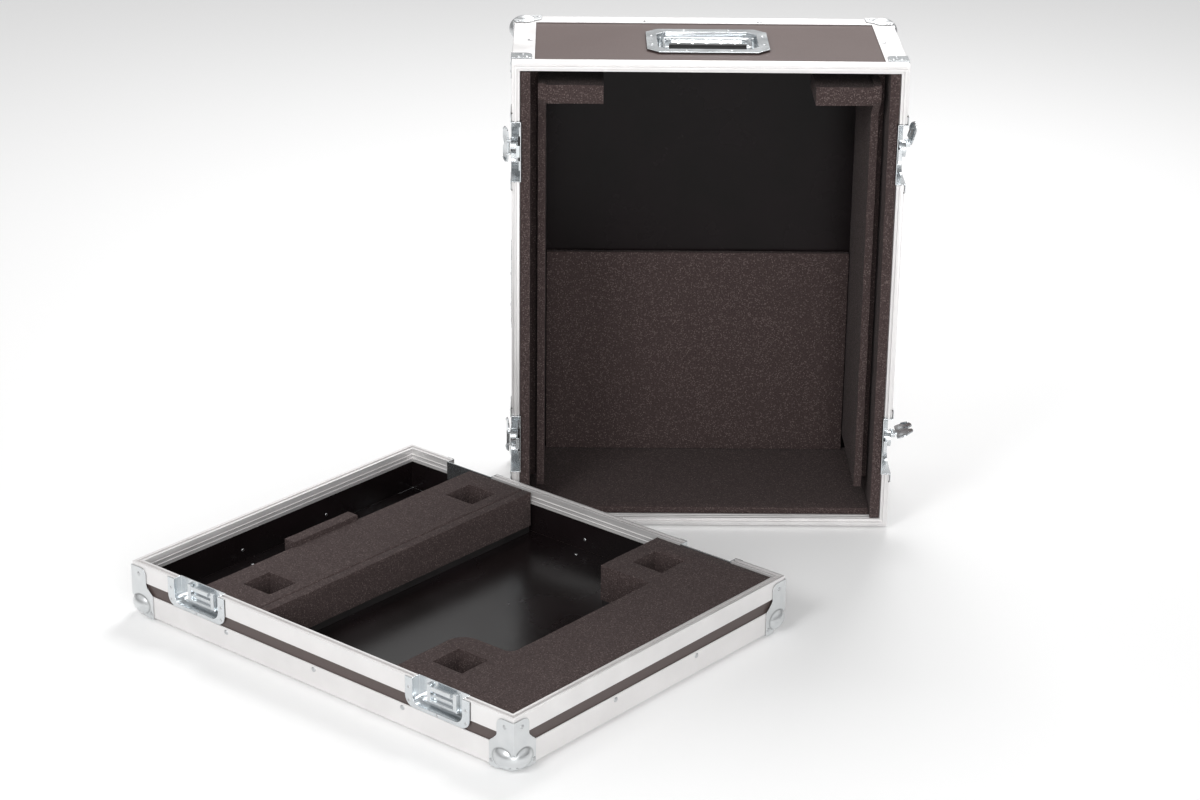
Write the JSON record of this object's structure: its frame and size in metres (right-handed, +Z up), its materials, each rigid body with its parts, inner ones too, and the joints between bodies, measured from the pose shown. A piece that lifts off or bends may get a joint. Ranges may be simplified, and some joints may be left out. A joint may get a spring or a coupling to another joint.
{
  "type": "open two-part transport case",
  "caption": "Laminate transport case laid open: a shallow foam-fitted tray, and a deep cover standing on its end with recessed butterfly latches and spring handles.",
  "frame": {"origin": "middle of the floor area that the open layout covers, on the floor", "axes": "+Z up; +Y towards the standing cover's closed back; +X to the right of the cover's opening seen from the front"},
  "size_m": [1.0356, 0.9602, 0.6656],
  "materials": {
    "laminate_board": "gloss laminate on plywood",
    "edge_aluminium": "satin extrusion",
    "plated_steel": "bright zinc plate",
    "foam": "matt speckled closed-cell foam",
    "grip_rubber": "matt"
  },
  "bodies": {
    "tray": {"tray_floor": "laminate_board", "tray_wall_left": "laminate_board", "tray_wall_right": "laminate_board", "tray_wall_low": "laminate_board", "tray_wall_high": "laminate_board", "tray_rim_end_high": "edge_aluminium", "tray_rim_end_low": "edge_aluminium", "tray_rim_side_right": "edge_aluminium", "tray_rim_side_left": "edge_aluminium", "tray_edge_frame": "edge_aluminium", "tray_ball_corner_left_low": "plated_steel", "tray_ball_corner_right_low": "plated_steel", "tray_ball_corner_right_high": "plated_steel", "tray_ball_corner_left_high": "plated_steel", "tray_catch_left_lower": "plated_steel", "tray_catch_left_upper": "plated_steel", "tray_catch_right_lower": "plated_steel", "tray_catch_right_upper": "plated_steel", "tray_foam_bar": "foam", "tray_foam_block": "foam"},
    "cover": {"cover_back": "laminate_board", "cover_wall_left": "laminate_board", "cover_wall_right": "laminate_board", "cover_wall_low": "laminate_board", "cover_wall_high": "laminate_board", "cover_rim_end_high": "edge_aluminium", "cover_rim_end_low": "edge_aluminium", "cover_rim_side_right": "edge_aluminium", "cover_rim_side_left": "edge_aluminium", "cover_edge_frame": "edge_aluminium", "cover_ball_corner_left_low": "plated_steel", "cover_ball_corner_right_low": "plated_steel", "cover_ball_corner_right_high": "plated_steel", "cover_ball_corner_left_high": "plated_steel", "cover_foam_left": "foam", "cover_foam_right": "foam", "cover_foam_bottom": "foam", "cover_foam_back": "foam", "latch_left_lower_dish": "plated_steel", "latch_left_upper_dish": "plated_steel", "latch_right_lower_dish": "plated_steel", "latch_right_upper_dish": "plated_steel", "handle_top_dish": "plated_steel", "handle_left_dish": "plated_steel", "handle_right_dish": "plated_steel"},
    "latch_left_lower_spindle": {"latch_left_lower_hub": "plated_steel"},
    "latch_left_lower_thumb_wing": {"latch_left_lower_wing": "plated_steel"},
    "latch_left_lower_claw": {"latch_left_lower_hook": "plated_steel"},
    "latch_left_upper_spindle": {"latch_left_upper_hub": "plated_steel"},
    "latch_left_upper_thumb_wing": {"latch_left_upper_wing": "plated_steel"},
    "latch_left_upper_claw": {"latch_left_upper_hook": "plated_steel"},
    "latch_right_lower_spindle": {"latch_right_lower_hub": "plated_steel"},
    "latch_right_lower_thumb_wing": {"latch_right_lower_wing": "plated_steel"},
    "latch_right_lower_claw": {"latch_right_lower_hook": "plated_steel"},
    "latch_right_upper_spindle": {"latch_right_upper_hub": "plated_steel"},
    "latch_right_upper_thumb_wing": {"latch_right_upper_wing": "plated_steel"},
    "latch_right_upper_claw": {"latch_right_upper_hook": "plated_steel"},
    "handle_top_bail": {"handle_top_grip": "grip_rubber"},
    "handle_left_bail": {"handle_left_grip": "grip_rubber"},
    "handle_right_bail": {"handle_right_grip": "grip_rubber"}
  },
  "joints": [
    {"name": "cover_lift", "type": "slide", "parent": "tray", "child": "cover", "axis": [0, 0, 1], "range_m": [0, 0.35]},
    {"name": "latch_left_lower_turn", "type": "hinge", "parent": "cover", "child": "latch_left_lower_spindle", "pos_m": [-0.03407, 0.25731, 0.1248], "axis": [1, 0, 0], "range_deg": [0, 180]},
    {"name": "latch_left_lower_fold", "type": "hinge", "parent": "latch_left_lower_spindle", "child": "latch_left_lower_thumb_wing", "pos_m": [-0.03907, 0.24931, 0.1248], "axis": [0, 0, 1], "range_deg": [-4, 176]},
    {"name": "latch_left_lower_throw", "type": "slide", "parent": "cover", "child": "latch_left_lower_claw", "axis": [0, -1, 0], "range_m": [0, 0.008]},
    {"name": "latch_left_upper_turn", "type": "hinge", "parent": "cover", "child": "latch_left_upper_spindle", "pos_m": [-0.03407, 0.25731, 0.5408], "axis": [1, 0, 0], "range_deg": [0, 180]},
    {"name": "latch_left_upper_fold", "type": "hinge", "parent": "latch_left_upper_spindle", "child": "latch_left_upper_thumb_wing", "pos_m": [-0.03907, 0.24931, 0.5408], "axis": [0, 0, 1], "range_deg": [-14, 166]},
    {"name": "latch_left_upper_throw", "type": "slide", "parent": "cover", "child": "latch_left_upper_claw", "axis": [0, -1, 0], "range_m": [0, 0.008]},
    {"name": "latch_right_lower_turn", "type": "hinge", "parent": "cover", "child": "latch_right_lower_spindle", "pos_m": [0.48593, 0.25731, 0.1248], "axis": [-1, 0, 0], "range_deg": [-90, 90]},
    {"name": "latch_right_lower_fold", "type": "hinge", "parent": "latch_right_lower_spindle", "child": "latch_right_lower_thumb_wing", "pos_m": [0.49093, 0.25731, 0.1328], "axis": [0, -1, 0], "range_deg": [-108, 72]},
    {"name": "latch_right_lower_throw", "type": "slide", "parent": "cover", "child": "latch_right_lower_claw", "axis": [0, -1, 0], "range_m": [-0.004, 0.004]},
    {"name": "latch_right_upper_turn", "type": "hinge", "parent": "cover", "child": "latch_right_upper_spindle", "pos_m": [0.48593, 0.25731, 0.5408], "axis": [-1, 0, 0], "range_deg": [-90, 90]},
    {"name": "latch_right_upper_fold", "type": "hinge", "parent": "latch_right_upper_spindle", "child": "latch_right_upper_thumb_wing", "pos_m": [0.49093, 0.25731, 0.5488], "axis": [0, -1, 0], "range_deg": [-160, 20]},
    {"name": "latch_right_upper_throw", "type": "slide", "parent": "cover", "child": "latch_right_upper_claw", "axis": [0, -1, 0], "range_m": [-0.004, 0.004]},
    {"name": "handle_top_lift", "type": "hinge", "parent": "cover", "child": "handle_top_bail", "pos_m": [0.22593, 0.37731, 0.6558], "axis": [-1, 0, 0], "range_deg": [0, 90], "stiffness_Nm_per_rad": 0.4, "springref_deg": -11.46},
    {"name": "handle_left_lift", "type": "hinge", "parent": "cover", "child": "handle_left_bail", "pos_m": [-0.02907, 0.35031, 0.3628], "axis": [0, 1, 0], "range_deg": [0, 90], "stiffness_Nm_per_rad": 0.4, "springref_deg": -11.46},
    {"name": "handle_right_lift", "type": "hinge", "parent": "cover", "child": "handle_right_bail", "pos_m": [0.48093, 0.35031, 0.3628], "axis": [0, -1, 0], "range_deg": [0, 90], "stiffness_Nm_per_rad": 0.4, "springref_deg": -11.46}
  ],
  "couplings": [
    {"joint": "latch_left_lower_throw", "follows": "latch_left_lower_turn", "m_per_rad": 0.0025464},
    {"joint": "latch_left_upper_throw", "follows": "latch_left_upper_turn", "m_per_rad": 0.0025464},
    {"joint": "latch_right_lower_throw", "follows": "latch_right_lower_turn", "m_per_rad": 0.0025464},
    {"joint": "latch_right_upper_throw", "follows": "latch_right_upper_turn", "m_per_rad": 0.0025464}
  ]
}
